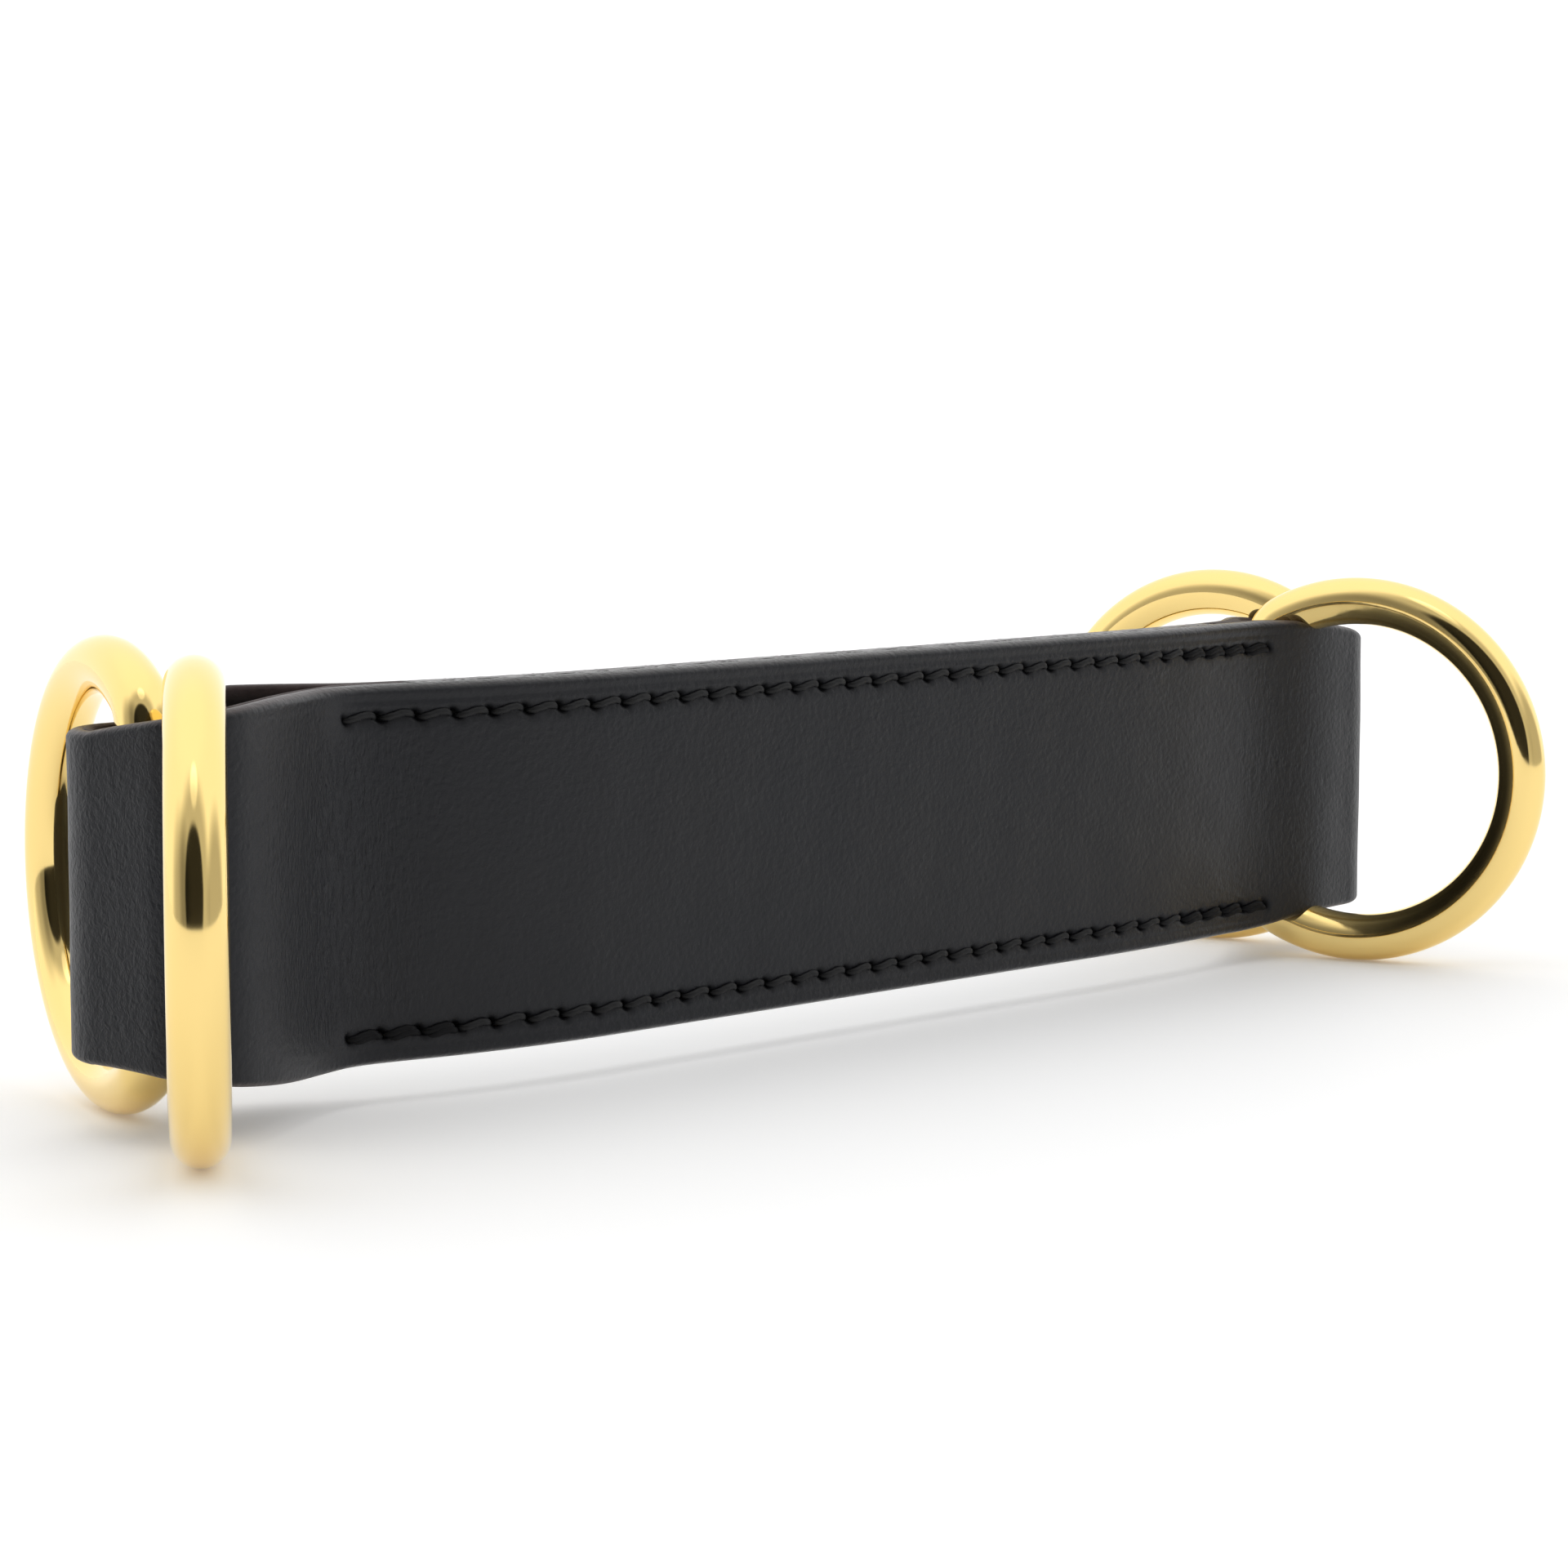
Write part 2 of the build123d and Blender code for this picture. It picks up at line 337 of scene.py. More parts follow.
strap = Strap()


# ---------------------------------------------------------------- shape of the leather's surface

# Rounded edges: the outer ones at the loops and on the body, the lining's inner ones, and the layers' seam
EDGE_WIDTH_LOOP = 0.8
EDGE_WIDTH_BODY = 1.3
EDGE_DROP = 0.62
INNER_EDGE_WIDTH = 0.45
INNER_EDGE_DROP = 0.3
SEAM_DEPTH = 0.05
SEAM_WIDTH = 0.09

# Pressed into the face: depth and width of the stitches' groove, of each hole, and of the creased edge line
GROOVE_DEPTH, GROOVE_WIDTH = 0.15, 0.48
HOLE_DEPTH, HOLE_LENGTH, HOLE_WIDTH = 0.5, 0.5, 0.27
HOLE_TILT = (0.7, 0.71)
CREASE_FROM_ROW, CREASE_DEPTH, CREASE_WIDTH = 1.1, 0.11, 0.2

# Painted shade darkening the face inside each stitch hole and along the groove
HOLE_SHADE, HOLE_SHADE_LENGTH, HOLE_SHADE_WIDTH, HOLE_SHADE_LOWER = 1.5, 0.62, 0.36, 0.05
GROOVE_SHADE, GROOVE_SHADE_WIDTH = 0.35, 0.42

# Fullness of the stitched body between its two rows
CROWN_HEIGHT, CROWN_HALF = 0.16, 10.2


def edge_drop(depth, joined):
    """How far the rounded edge lies below the strap's full height, at this depth in the wall."""
    width = EDGE_WIDTH_LOOP + (EDGE_WIDTH_BODY - EDGE_WIDTH_LOOP) * joined
    outer = EDGE_DROP * (1 - np.sqrt(np.clip(1 - np.clip(1 - depth / width, 0, 1) ** 2, 0, 1)))
    near_inside = np.clip((depth - (WALL - INNER_EDGE_WIDTH)) / INNER_EDGE_WIDTH, 0, 1)
    inner = INNER_EDGE_DROP * (1 - joined) * (1 - np.sqrt(np.clip(1 - near_inside ** 2, 0, 1)))
    return outer + inner + SEAM_DEPTH * (1 - 0.6 * joined) * bump_at(depth, LEATHER, SEAM_WIDTH)


def stitch_alongs():
    return (np.arange(STITCH_COUNT) - (STITCH_COUNT - 1) / 2) * STITCH_PITCH


def stitched_share(along, before_end):
    """1 along the rows of stitches, fading to 0 round their ends."""
    return 1 - smooth(STITCHED_HALF - before_end, STITCHED_HALF + 0.5, np.abs(along))


def from_hole(along, rise, back):
    """Distance from the middle of the nearest stitch hole, along its tilted slit and across it."""
    facing = np.where(back, -1.0, 1.0)
    phase = along / STITCH_PITCH + STITCH_COUNT / 2
    beside = (phase - np.round(phase)) * STITCH_PITCH
    lengthways = beside * HOLE_TILT[0] - facing * rise * HOLE_TILT[1]
    sideways = beside * HOLE_TILT[1] + facing * rise * HOLE_TILT[0]
    return lengthways, sideways


def surface_relief(along, z, back, joined, past_end):
    """Depth pressed into the outer face: positive goes into the leather."""
    stitched = stitched_share(along, 0.6)
    relief = np.zeros(np.broadcast(along, z).shape)
    for name, row in ROWS.items():
        outwards = 1 if name == "upper" else -1
        relief += GROOVE_DEPTH * stitched * bump_at(z, row, GROOVE_WIDTH)
        lengthways, sideways = from_hole(along, z - row, back)
        hole = HOLE_DEPTH * stitched * bump_at(lengthways, 0, HOLE_LENGTH)
        relief += hole * bump_at(sideways, 0, HOLE_WIDTH)
        # creased line between the stitching and the edge
        crease = row + outwards * CREASE_FROM_ROW + 0.05 * np.sin(along * 0.23 + outwards)
        relief += CREASE_DEPTH * (joined * 0.9 + 0.1) * bump_at(z, crease, CREASE_WIDTH)
    middle = (STRAP_LOW + STRAP_TOP) / 2
    relief -= CROWN_HEIGHT * joined * np.clip(1 - ((z - middle) / CROWN_HALF) ** 2, 0, 1)
    # slow waves of a hand-cut strap
    relief += 0.035 * np.sin(along * 0.31 + 0.8) * np.sin(z * 0.22 + 0.4)
    relief += 0.022 * np.sin(along * 0.83 + z * 0.31 + 2.1) * np.sin(z * 0.47 - along * 0.12)
    # fine creases where the loop turns away from the stitching
    flex = np.exp(-((past_end + 0.5) / 4.0) ** 2) * smooth(6.2, 9.5, z) * (1 - smooth(23.5, 26.5, z))
    bow = along + 0.055 * (z - middle) ** 2 * np.sign(along)
    ripple = np.sin(bow * 5.1 + 0.9 * np.sin(z * 0.61))
    ripple = ripple + 0.6 * np.sin(bow * 8.3 + 1.3 * np.sin(z * 0.43 + 1))
    relief += 0.012 * flex * ripple
    return relief


def hole_shade(along, z, back):
    """How much painted shade each place on the face gets from a stitch hole or its groove, from 0 to 1."""
    stitched = stitched_share(along, 0.2)
    shade = np.zeros(np.broadcast(along, z).shape)
    for row in ROWS.values():
        lengthways, sideways = from_hole(along, z - row + HOLE_SHADE_LOWER, back)
        hole = bump_at(lengthways, 0, HOLE_SHADE_LENGTH) * bump_at(sideways, 0, HOLE_SHADE_WIDTH)
        groove = GROOVE_SHADE * bump_at(z, row, GROOVE_SHADE_WIDTH)
        shade = np.maximum(shade, stitched * np.maximum(HOLE_SHADE * hole, groove))
    return np.clip(shade, 0, 1)


def face_rows():
    """Shares of the face's height, closer together round the two rows of stitches."""
    low, top = STRAP_LOW + EDGE_DROP, STRAP_TOP - EDGE_DROP
    near = 3.2
    edge_count, middle_count = 20, 20
    lower = np.linspace(low, low + near, edge_count, endpoint=False)
    middle = np.linspace(low + near, top - near, middle_count, endpoint=False)
    upper = np.linspace(top - near, top, edge_count + 1)
    return (np.concatenate([lower, middle, upper]) - low) / (top - low)


def edge_depths(last, count):
    """Depths across the edge, closest together at the rounded corner."""
    turn = np.linspace(0, math.pi / 2, count + 1)[1:]
    return last * (1 - np.cos(turn))


# ---------------------------------------------------------------- mesh helpers

def new_piece(name, vertices, faces, body, replaced, material):
    """Smooth-shaded mesh, from vertices in millimetres, that rides on a body and replaces CAD nodes."""
    mesh = bpy.data.meshes.new(name)
    mesh.from_pydata((np.asarray(vertices) * MM).tolist(), [], faces)
    mesh.validate()
    mesh.materials.append(material)
    mesh.polygons.foreach_set("use_smooth", np.ones(len(mesh.polygons), bool))
    mesh.update()
    piece = bpy.data.objects.new(name, mesh)
    bpy.context.scene.collection.objects.link(piece)
    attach(piece, body)
    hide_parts(*replaced)
    return piece


def tube_faces(stations, rows, offset=0, closed=False):
    """Quads over a grid whose rows close on themselves, and whose stations may."""
    faces = []
    for i in range(stations if closed else stations - 1):
        a = offset + i * rows
        b = offset + ((i + 1) % stations) * rows
        for j in range(rows):
            k = (j + 1) % rows
            faces.append((a + j, a + k, b + k, b + j))
    return faces


def end_caps(stations, rows, offset=0):
    """One polygon over each end of a tube."""
    first = tuple(offset + j for j in reversed(range(rows)))
    last = tuple(offset + (stations - 1) * rows + j for j in range(rows))
    return [first, last]


def set_attribute(piece, name, values):
    """Give each vertex a number that the piece's material reads."""
    layer = piece.data.attributes.new(name, "FLOAT", "POINT")
    layer.data.foreach_set("value", np.asarray(values, np.float32).ravel())


# ---------------------------------------------------------------- materials

class Shader:
    """A node material, with short ways to add its nodes."""

    def __init__(self, name):
        self.material = bpy.data.materials.new(name)
        self.material.use_nodes = True
        self.nodes = self.material.node_tree.nodes
        self.links = self.material.node_tree.links
        self.surface = self.nodes["Principled BSDF"]
        self.place = self.add("ShaderNodeTexCoord").outputs["Object"]

    def add(self, kind, **settings):
        node = self.nodes.new(kind)
        for key, value in settings.items():
            setattr(node, key, value)
        return node

    def join(self, output, socket):
        self.links.new(output, socket)

    def set(self, **values):
        for key, value in values.items():
            self.surface.inputs[key.replace("_", " ")].default_value = value

    def attribute(self, name):
        return self.add("ShaderNodeAttribute", attribute_name=name).outputs["Fac"]

    def noise(self, size, detail=2.0, roughness=0.5, place=None, distortion=0.0):
        node = self.add("ShaderNodeTexNoise")
        node.inputs["Scale"].default_value = 1 / (size * MM)
        node.inputs["Detail"].default_value = detail
        node.inputs["Roughness"].default_value = roughness
        node.inputs["Distortion"].default_value = distortion
        self.join(place or self.place, node.inputs["Vector"])
        return node.outputs["Fac"]

    def cells(self, size):
        node = self.add("ShaderNodeTexVoronoi", feature="SMOOTH_F1")
        node.inputs["Scale"].default_value = 1 / (size * MM)
        self.join(self.place, node.inputs["Vector"])
        return node.outputs["Distance"]

    def stretched(self, scale):
        node = self.add("ShaderNodeMapping")
        node.inputs["Scale"].default_value = scale
        self.join(self.place, node.inputs["Vector"])
        return node.outputs["Vector"]

    def math(self, operation, first, second):
        node = self.add("ShaderNodeMath", operation=operation)
        for socket, value in zip(node.inputs, (first, second)):
            if isinstance(value, (int, float)):
                socket.default_value = value
            else:
                self.join(value, socket)
        return node.outputs[0]

    def ramp(self, value, low, high, first, last):
        node = self.add("ShaderNodeMapRange")
        self.join(value, node.inputs["Value"])
        for key, number in zip(("From Min", "From Max", "To Min", "To Max"), (low, high, first, last)):
            node.inputs[key].default_value = number
        return node.outputs["Result"]

    def mix(self, share, first, second):
        node = self.add("ShaderNodeMix", data_type="RGBA")
        self.join(share, node.inputs["Factor"])
        for socket, value in ((node.inputs["A"], first), (node.inputs["B"], second)):
            if isinstance(value, tuple):
                socket.default_value = (*value, 1)
            else:
                self.join(value, socket)
        return node.outputs["Result"]

    def bump(self, height, depth, strength=1.0, normal=None):
        node = self.add("ShaderNodeBump")
        node.inputs["Distance"].default_value = depth * MM
        if isinstance(strength, float):
            node.inputs["Strength"].default_value = strength
        else:
            self.join(strength, node.inputs["Strength"])
        self.join(height, node.inputs["Height"])
        if normal:
            self.join(normal, node.inputs["Normal"])
        return node.outputs["Normal"]


def leather_material():
    shader = Shader("black_leather")
    edge = shader.attribute("edge")
    loop = shader.attribute("loop")
    flex = shader.attribute("flex")
    tint = shader.noise(14.0, 3.0)
    face = shader.mix(shader.ramp(tint, 0.35, 0.65, 0, 1), *LEATHER_FACE)
    rim_tint = shader.noise(1.6, 4.0)
    rim = shader.mix(loop, shader.mix(rim_tint, *BODY_RIM), shader.mix(rim_tint, *LOOP_RIM))
    surface = shader.mix(edge, face, rim)
    # painted shade: the base colour goes near-black in each stitch hole and along the groove
    hole = shader.attribute("hole")
    shader.join(shader.mix(hole, surface, HOLE_PAINTED_SHADE), shader.surface.inputs["Base Color"])
    wear = shader.noise(2.2, 4.0, 0.6)
    rough = shader.ramp(wear, 0.3, 0.7, 0.36, 0.43)
    # the body's edge is burnished, the loops' edges are not
    burnish = shader.math("MULTIPLY", edge, shader.ramp(loop, 0.0, 1.0, -0.16, 0.0))
    rough = shader.math("ADD", rough, burnish)
    shader.join(rough, shader.surface.inputs["Roughness"])
    shader.join(shader.ramp(hole, 0.0, 1.0, 0.30, 0.04), shader.surface.inputs["Specular IOR Level"])
    pores = shader.cells(0.5)
    fine = shader.noise(0.34, 4.0, 0.62)
    pebble = shader.noise(0.4, 3.0, 0.55, shader.stretched((1.0, 1.0, 0.7)), 0.8)
    folds = shader.noise(0.45, 3.0, 0.5, shader.stretched((1.0, 1.0, 0.36)), 1.2)
    normal = shader.bump(folds, 0.2, flex)
    normal = shader.bump(pebble, 0.12, shader.attribute("pebble"), normal)
    normal = shader.bump(pores, 0.08, 0.5, normal)
    normal = shader.bump(fine, 0.1, 0.6, normal)
    shader.join(normal, shader.surface.inputs["Normal"])
    return shader.material


def lining_material():
    shader = Shader("lining_leather")
    edge = shader.attribute("edge")
    tint = shader.noise(2.5, 4.0, 0.6)
    nap = shader.mix(tint, *LINING_NAP)
    rim = shader.mix(shader.noise(0.9, 4.0), *LINING_RIM)
    shader.join(shader.mix(edge, nap, rim), shader.surface.inputs["Base Color"])
    shader.join(shader.ramp(tint, 0.3, 0.7, 0.58, 0.75), shader.surface.inputs["Roughness"])
    shader.set(Specular_IOR_Level=0.3)
    normal = shader.bump(shader.noise(0.3, 4.0, 0.65), 0.06, 0.7)
    shader.join(normal, shader.surface.inputs["Normal"])
    return shader.material


def filler_material():
    shader = Shader("burnished_core")
    streaks = shader.noise(0.8, 4.0, 0.6, shader.stretched((0.25, 1.0, 1.0)))
    shader.join(shader.mix(streaks, *CORE), shader.surface.inputs["Base Color"])
    shader.join(shader.ramp(streaks, 0.3, 0.7, 0.3, 0.45), shader.surface.inputs["Roughness"])
    shader.set(Coat_Weight=0.15, Coat_Roughness=0.25)
    shader.join(shader.bump(streaks, 0.05, 0.5), shader.surface.inputs["Normal"])
    return shader.material


def thread_material():
    shader = Shader("waxed_thread")
    wax = shader.noise(0.5, 3.0)
    shader.join(shader.mix(wax, *THREAD), shader.surface.inputs["Base Color"])
    shader.join(shader.ramp(wax, 0.3, 0.7, 0.45, 0.6), shader.surface.inputs["Roughness"])
    doubled = shader.attribute("doubled")
    shader.join(shader.ramp(doubled, 0.0, 1.0, 0.26, 0.10), shader.surface.inputs["Specular IOR Level"])
    shader.join(shader.bump(shader.noise(0.12, 3.0, 0.6), 0.03, 0.5), shader.surface.inputs["Normal"])
    return shader.material


def gold_material():
    shader = Shader("polished_gold")
    plating = shader.noise(9.0, 3.0)
    shader.join(shader.mix(plating, *GOLD), shader.surface.inputs["Base Color"])
    rough = shader.ramp(shader.noise(1.5, 4.0), 0.3, 0.7, 0.06, 0.10)
    shader.join(rough, shader.surface.inputs["Roughness"])
    shader.set(Metallic=1.0)
    shader.join(shader.bump(shader.noise(2.6, 2.0), 0.02, 0.25), shader.surface.inputs["Normal"])
    return shader.material


LEATHER_LOOK = leather_material()
LINING_LOOK = lining_material()
FILLER_LOOK = filler_material()
THREAD_LOOK = thread_material()
GOLD_LOOK = gold_material()


# ---------------------------------------------------------------- pieces

# Rows across the band's edge, on faces hidden between layers, and on the lining's edges and inner face
BAND_EDGE_ROWS = 9
HIDDEN_ROWS = 3
LINING_EDGE_ROWS = 8
LINING_WALL_ROWS = 32

# On the rounded edge: the depth over which the face's relief fades out, and its colour becomes the rim's
RELIEF_FADE = 0.5
RIM_STARTS = (0.02, 0.35)

# How far the lining stays short of the strap's middle plane, and the filler of what is beside and past it
LINING_SHORT = 0.02
FILLER_SHORT = 0.01
FILLER_END_GAP = 0.1
FILLER_STATIONS = 340
FILLER_ROWS = 13


def between(count):
    """Shares that divide a height evenly, without its ends."""
    return np.linspace(0, 1, count + 2)[1:-1][None, :]


def make_band():
    shares = face_rows()
    depths = edge_depths(LEATHER, BAND_EDGE_ROWS)
    joined = strap.joined[:, None]
    drop = edge_drop(np.zeros_like(joined), joined)
    face_low, face_top = strap.low[:, None] + drop, strap.top[:, None] - drop
    face_z = face_low + (face_top - face_low) * shares[None, :]
    relief = surface_relief(
        strap.along[:, None], face_z, strap.back[:, None], joined, strap.past_end[:, None]
    )
    across = np.broadcast_to(depths, (len(strap.points), len(depths)))
    drops = edge_drop(across, joined)
    fade = np.clip(1 - across / RELIEF_FADE, 0, 1)
    top_depth = across + relief[:, -1:] * fade
    low_depth = across + relief[:, :1] * fade
    inner_top, inner_low = strap.top[:, None] - drops[:, -1:], strap.low[:, None] + drops[:, -1:]
    hidden = np.full((len(joined), HIDDEN_ROWS), LEATHER)
    depth = np.concatenate([relief, top_depth, hidden, low_depth[:, ::-1]], 1)
    z = np.concatenate([
        face_z,
        strap.top[:, None] - drops,
        inner_top + (inner_low - inner_top) * between(HIDDEN_ROWS),
        (strap.low[:, None] + drops)[:, ::-1],
    ], 1)
    vertices = strap.place(depth, z)
    stations, rows = depth.shape
    faces = tube_faces(stations, rows) + end_caps(stations, rows)
    piece = new_piece(
        "leather_band", vertices.reshape(-1, 3), faces, "strap", ["strap_band"], LEATHER_LOOK
    )
    rim = smooth(*RIM_STARTS, across)
    edge = np.concatenate([np.zeros_like(relief), rim, np.ones_like(hidden), rim[:, ::-1]], 1)
    set_attribute(piece, "edge", edge)
    # painted shade from each stitch hole and the groove, which the material reads as the hole attribute
    hole_painted_shade = np.zeros_like(depth)
    hole_painted_shade[:, :relief.shape[1]] = hole_shade(strap.along[:, None], face_z, strap.back[:, None])
    set_attribute(piece, "hole", hole_painted_shade)
    set_attribute(piece, "loop", np.broadcast_to(1 - joined, depth.shape))
    # folds where the loops turn away, off the edges, and grain pressed up round the tips of the loops
    near_kink = np.exp(-((strap.past_end - 0.5) / 6.0) ** 2)[:, None]
    off_edges = (1 - smooth(24.5, 27.5, z)) * smooth(4.5, 7.5, z)
    set_attribute(piece, "flex", near_kink * off_edges * np.where(strap.side < 0, 1.0, 0.45)[:, None])
    pebble = np.where(strap.side < 0, 1.0, 0.35) * (1 - smooth(6.0, 13.0, np.abs(strap.reach)))
    set_attribute(piece, "pebble", np.broadcast_to(pebble[:, None], depth.shape))
    return piece


def make_lining(side):
    """Both walls of a loop's inner layer, with the tails that run into the stitched body."""
    chosen = np.flatnonzero((strap.side == side) & (strap.past_end > -LINING_TAIL))
    first, last = chosen.min(), chosen.max() + 1
    part = slice(first, last)
    joined = strap.joined[part, None]
    stations = last - first
    # where the walls part, the lining thickens to reach the middle until the stitching ends
    thicken = np.clip(strap.swell, 0, None) * (1 - smooth(*LINING_THINS, strap.past_end))
    reach_in = (WALL - LINING_SHORT + thicken)[part, None]
    shares = np.linspace(0, 1, LINING_EDGE_ROWS)[None, :]
    across = LEATHER + (reach_in - LEATHER) * shares
    drops = edge_drop(LEATHER + (WALL - LEATHER) * shares, joined)
    top, low = strap.top[part, None], strap.low[part, None]
    upper, lower = top - drops[:, -1:], low + drops[:, -1:]
    inner_z = upper + (lower - upper) * between(LINING_WALL_ROWS)
    nap = 0.02 * np.sin(strap.run[part, None] * 1.7 + inner_z * 0.9) * (1 - joined)
    upper, lower = top - drops[:, :1], low + drops[:, :1]
    outer_z = lower + (upper - lower) * between(HIDDEN_ROWS)
    hidden = np.full((stations, HIDDEN_ROWS), LEATHER)
    depth = np.concatenate([across, reach_in + nap, across[:, ::-1], hidden], 1)
    z = np.concatenate([top - drops, inner_z, (low + drops)[:, ::-1], outer_z], 1)
    vertices = strap.place(depth, z, part)
    rows = depth.shape[1]
    faces = tube_faces(stations, rows) + end_caps(stations, rows)
    name = "left" if side < 0 else "right"
    piece = new_piece(
        f"{name}_loop_lining", vertices.reshape(-1, 3), faces, "strap", [f"{name}_lining"],
        LINING_LOOK,
    )
    rim = np.ones_like(across)
    edge = np.concatenate([rim, np.zeros_like(inner_z), rim, np.zeros_like(hidden)], 1)
    set_attribute(piece, "edge", edge)
    return piece


def body_place(along, across):
    """Plan point and heading, from the strap's middle, this far along it and this far behind it."""
    side = -1 if along < 0 else 1
    beyond = abs(along) - STRAIGHT_HALF
    if beyond <= 0:
        return (along, across), 0.0
    angle = beyond / BEND_RADIUS[side]
    return bend_point(side, across, angle), side * angle


def make_filler():
    """The strip between the two walls of the stitched body, with slightly uneven edges."""
    ends = [side * (STRAIGHT_HALF + BEND_RADIUS[side] * BEND_ANGLE[side] - LINING_TAIL) for side in (-1, 1)]
    alongs = np.linspace(ends[0] + FILLER_END_GAP, ends[1] - FILLER_END_GAP, FILLER_STATIONS)
    half = LINING - FILLER_SHORT
    across = np.linspace(half, -half, FILLER_ROWS)
    across = np.concatenate([across, np.linspace(-half, half, FILLER_ROWS)])
    depth = WALL - np.abs(across)
    drops = edge_drop(depth, 1.0)
    z = np.where(np.arange(len(across)) < FILLER_ROWS, STRAP_TOP - drops, STRAP_LOW + drops)
    vertices = []
    for along in alongs:
        fibre = 0.02 * math.sin(along * 1.9) + 0.015 * math.sin(along * 4.7 + 1)
        for offset, height in zip(across, z):
            point, _ = body_place(along, offset)
            lift = fibre if height > RING_MID_Z else -fibre
            lifted = height + lift - math.copysign(0.03, lift)
            vertices.append((point[0] + MIDDLE[0], point[1] + MIDDLE[1], lifted))
    rows = len(across)
    faces = tube_faces(len(alongs), rows) + end_caps(len(alongs), rows)
    return new_piece(
        "edge_filler", vertices, faces, "strap", ["filler_strip"], FILLER_LOOK
    )


# Thread: its section, the pitch of its plies, and the fineness of its mesh
THREAD_HALF_WIDTH = 0.27
THREAD_HALF_THICKNESS = 0.19
PLY_PITCH = 1.3
THREAD_SIDES = 12
THREAD_STATIONS = 17

# Each stitch: how it arches over its row and dives into the face, and how far its ends reach past its length
ARCH_HEIGHT, ARCH_LEAN, ARCH_START = 0.34, 1.7, 0.13
SUNK_MIDDLE, SUNK_ENDS = 0.02, 0.7
THREAD_REACH = 1.08
ARCH_JITTER = 0.06

# Stitches doubled at the left and right end of each row, and how far the second thread lies from the first
DOUBLED = {"upper": (0, 4), "lower": (3, 4)}
SECOND_ALONG, SECOND_LOWER = 0.25, -0.3


def face_place(along, back, depth):
    """Plan point in the frame, this far along one face of the stitched body and this far into it."""
    # the body's face, and a little of the loop past each end of it
    chosen = np.flatnonzero((strap.back == back) & (strap.past_end < 6))
    chosen = chosen[np.argsort(strap.along[chosen])]
    known = strap.along[chosen]
    inner = strap.points[chosen] + strap.inward[chosen] * depth
    return [np.interp(along, known, inner[:, k]) + MIDDLE[k] for k in (0, 1)]


def stitch_centre(share, along, row_z, back, jitter):
    """A point of one stitch's thread, which arches out of its hole and dives into the next."""
    facing = -1 if back else 1
    rightwards = (1 + share * facing) / 2
    arch = ARCH_HEIGHT * math.sin(math.pi * rightwards ** ARCH_LEAN) - ARCH_START
    sunk = SUNK_MIDDLE + SUNK_ENDS * abs(share) ** 5
    place = along + share * STITCH_LENGTH / 2 * THREAD_REACH
    return np.array([*face_place(place, back, sunk), row_z + arch + jitter * ARCH_JITTER])


def make_stitches(name):
    """One row of stitches, on the front and on the back, in flattened two-ply thread."""
    row_z = ROWS[name]
    random = np.random.default_rng(7 if name == "upper" else 11)
    vertices, faces, in_pair = [], [], []
    shares = np.linspace(-1, 1, THREAD_STATIONS)
    angles = np.linspace(0, math.tau, THREAD_SIDES, endpoint=False)
    alongs = stitch_alongs()
    at_left, at_right = DOUBLED[name]
    doubled = np.concatenate([alongs[:at_left], alongs[STITCH_COUNT - at_right:]])
    threads = [(along, 0.0) for along in alongs]
    threads += [(along + SECOND_ALONG, SECOND_LOWER) for along in doubled]
    pairs = set(doubled)
    for back in (False, True):
        for along, lower in threads:
            jitter, start = random.uniform(-1, 1), random.uniform(0, math.tau)
            centres = np.array([stitch_centre(s, along, row_z + lower, back, jitter) for s in shares])
            tangents = np.gradient(centres, axis=0)
            tangents /= np.linalg.norm(tangents, axis=1)[:, None]
            offset = len(vertices)
            in_pair.extend([1.0 if lower or along in pairs else 0.0] * (THREAD_STATIONS * THREAD_SIDES))
            for share, centre, tangent in zip(shares, centres, tangents):
                up = np.array([0, 0, 1.0])
                up = up - tangent * up.dot(tangent)
                up /= np.linalg.norm(up)
                out = np.cross(tangent, up)
                twist = start + share * STITCH_LENGTH / 2 / PLY_PITCH * math.tau
                taper = 1 - 0.35 * abs(share) ** 3
                plies = 1 - 0.13 * np.cos(angles - twist) ** 8
                width = THREAD_HALF_WIDTH * taper * plies * np.cos(angles)
                thickness = THREAD_HALF_THICKNESS * taper * plies * np.sin(angles)
                vertices.extend(centre + width[:, None] * up + thickness[:, None] * out)
            faces += tube_faces(THREAD_STATIONS, THREAD_SIDES, offset)
            faces += end_caps(THREAD_STATIONS, THREAD_SIDES, offset)
    piece = new_piece(
        f"{name}_stitch_row", vertices, faces, "strap", [f"{name}_stitches"], THREAD_LOOK
    )
    set_attribute(piece, "doubled", in_pair)
    return piece


# Fineness of a ring's mesh: step along its wire, and sides of its round section
RING_STEP = 0.42
RING_SIDES = 44


def wire_path():
    """Centre line of a D-ring's wire in its own plane: distance from the bar, and height."""
    corner_z = math.sqrt((ARC_RADIUS - CORNER_RADIUS) ** 2 - (CORNER_RADIUS - CHORD_OFFSET) ** 2)
    turn = math.atan2(corner_z, CORNER_RADIUS - CHORD_OFFSET)
    count = sample_steps(2 * corner_z, RING_STEP)
    points = [(0, -corner_z + 2 * corner_z * i / count) for i in range(count)]
    arcs = [
        ((CORNER_RADIUS, corner_z), CORNER_RADIUS, math.pi, turn),
        ((CHORD_OFFSET, 0), ARC_RADIUS, turn, -turn),
        ((CORNER_RADIUS, -corner_z), CORNER_RADIUS, -turn, -math.pi),
    ]
    for centre, radius, first, last in arcs:
        count = sample_steps(abs(last - first) * radius, RING_STEP)
        for i in range(count):
            angle = first + (last - first) * i / count
            points.append((centre[0] + radius * math.cos(angle), centre[1] + radius * math.sin(angle)))
    return np.array(points)


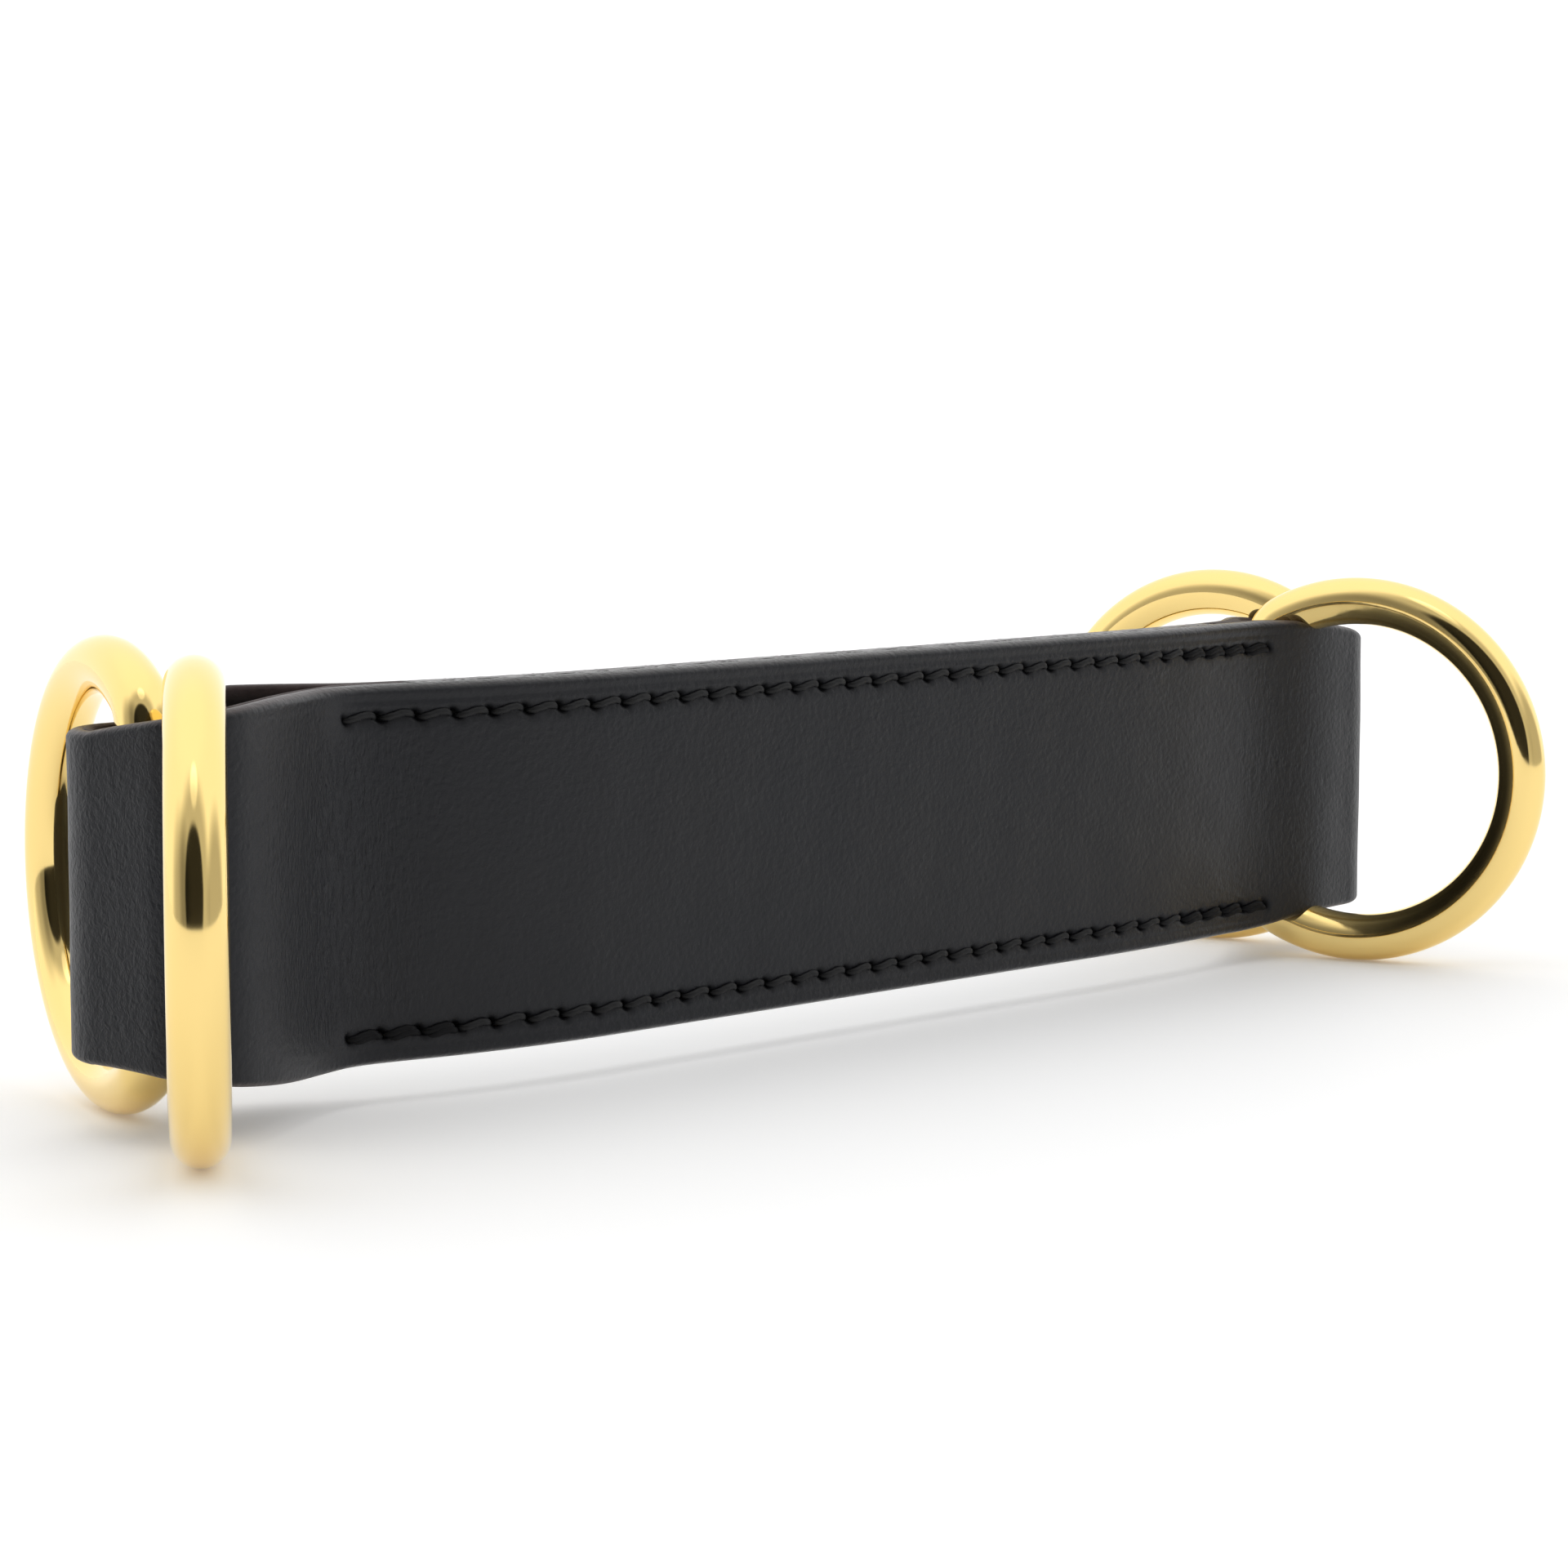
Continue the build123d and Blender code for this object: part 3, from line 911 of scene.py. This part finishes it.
def make_ring(name):
    path = wire_path()
    heading = math.radians(RING_HEADINGS[name])
    place = joint_place(f"{name}_swing")
    away = np.array([math.cos(heading), math.sin(heading), 0])
    sideways = np.array([-math.sin(heading), math.cos(heading), 0])
    up = np.array([0, 0, 1.0])
    tangents = np.roll(path, -1, 0) - np.roll(path, 1, 0)
    tangents /= np.linalg.norm(tangents, axis=1)[:, None]
    vertices = []
    for (u, z), (tu, tz) in zip(path, tangents):
        centre = np.array([place.x, place.y, RING_MID_Z]) + away * u + up * z
        normal = away * tz - up * tu
        for k in range(RING_SIDES):
            angle = math.tau * k / RING_SIDES
            vertices.append(centre + WIRE_RADIUS * (math.cos(angle) * normal + math.sin(angle) * sideways))
    faces = tube_faces(len(path), RING_SIDES, closed=True)
    return new_piece(
        f"{name}_gold_ring", vertices, faces, f"{name}_d_ring", [f"{name}_ring"], GOLD_LOOK
    )


# ---------------------------------------------------------------- studio

def add_camera():
    data = bpy.data.cameras.new("camera")
    data.lens = CAMERA_LENS
    data.sensor_width = 36.0
    data.clip_start = 0.01
    data.clip_end = 20.0
    camera = bpy.data.objects.new("camera", data)
    camera.location = Vector(CAMERA_PLACE) * MM
    tilt = math.radians(90 + CAMERA_PITCH)
    camera.rotation_euler = (tilt, 0, math.radians(CAMERA_HEADING - 90))
    bpy.context.scene.collection.objects.link(camera)
    bpy.context.scene.camera = camera


def add_floor():
    """A plain white floor that glows slightly, as a lit table does."""
    half = FLOOR_HALF_METRES
    mesh = bpy.data.meshes.new("floor")
    corners = [(-half, -half, 0), (half, -half, 0), (half, half, 0), (-half, half, 0)]
    mesh.from_pydata(corners, [], [(0, 1, 2, 3)])
    floor = bpy.data.objects.new("floor", mesh)
    bpy.context.scene.collection.objects.link(floor)
    shader = Shader("pale_floor")
    shader.set(Base_Color=(0.97, 0.97, 0.97, 1), Roughness=0.6, Specular_IOR_Level=0.2)
    shader.set(Emission_Color=(1, 1, 1, 1), Emission_Strength=0.13)
    mesh.materials.append(shader.material)


def add_studio():
    """A white light tent with dimmer sides, a brighter panel overhead and a dark opening at the camera."""
    world = bpy.data.worlds.new("studio")
    bpy.context.scene.world = world
    world.use_nodes = True
    nodes, links = world.node_tree.nodes, world.node_tree.links
    background = nodes["Background"]
    direction = nodes.new("ShaderNodeTexCoord").outputs["Generated"]

    def region(towards, first, last, inside):
        """A level that goes smoothly to 1 between these angles, in degrees, from a direction."""
        dot = nodes.new("ShaderNodeVectorMath")
        dot.operation = "DOT_PRODUCT"
        dot.inputs[1].default_value = Vector(towards).normalized()
        links.new(direction, dot.inputs[0])
        level = nodes.new("ShaderNodeMapRange")
        level.interpolation_type = "SMOOTHSTEP"
        links.new(dot.outputs["Value"], level.inputs["Value"])
        for key, value in (
            ("From Min", math.cos(math.radians(last))), ("From Max", math.cos(math.radians(first))),
            ("To Min", 1.0), ("To Max", inside),
        ):
            level.inputs[key].default_value = value
        return level.outputs["Result"]

    total, *levels = [region(*part) for part in TENT.values()]
    for level in (*levels, TENT_LEVEL):
        product = nodes.new("ShaderNodeMath")
        product.operation = "MULTIPLY"
        links.new(total, product.inputs[0])
        if isinstance(level, float):
            product.inputs[1].default_value = level
        else:
            links.new(level, product.inputs[1])
        total = product.outputs[0]
    links.new(total, background.inputs["Strength"])
    background.inputs["Color"].default_value = (1, 1, 1, 1)
    bpy.context.scene.view_settings.view_transform = "Standard"


make_band()
make_lining(-1)
make_lining(1)
make_filler()
make_stitches("upper")
make_stitches("lower")
for ring_name in RING_HEADINGS:
    make_ring(ring_name)
add_camera()
add_floor()
add_studio()
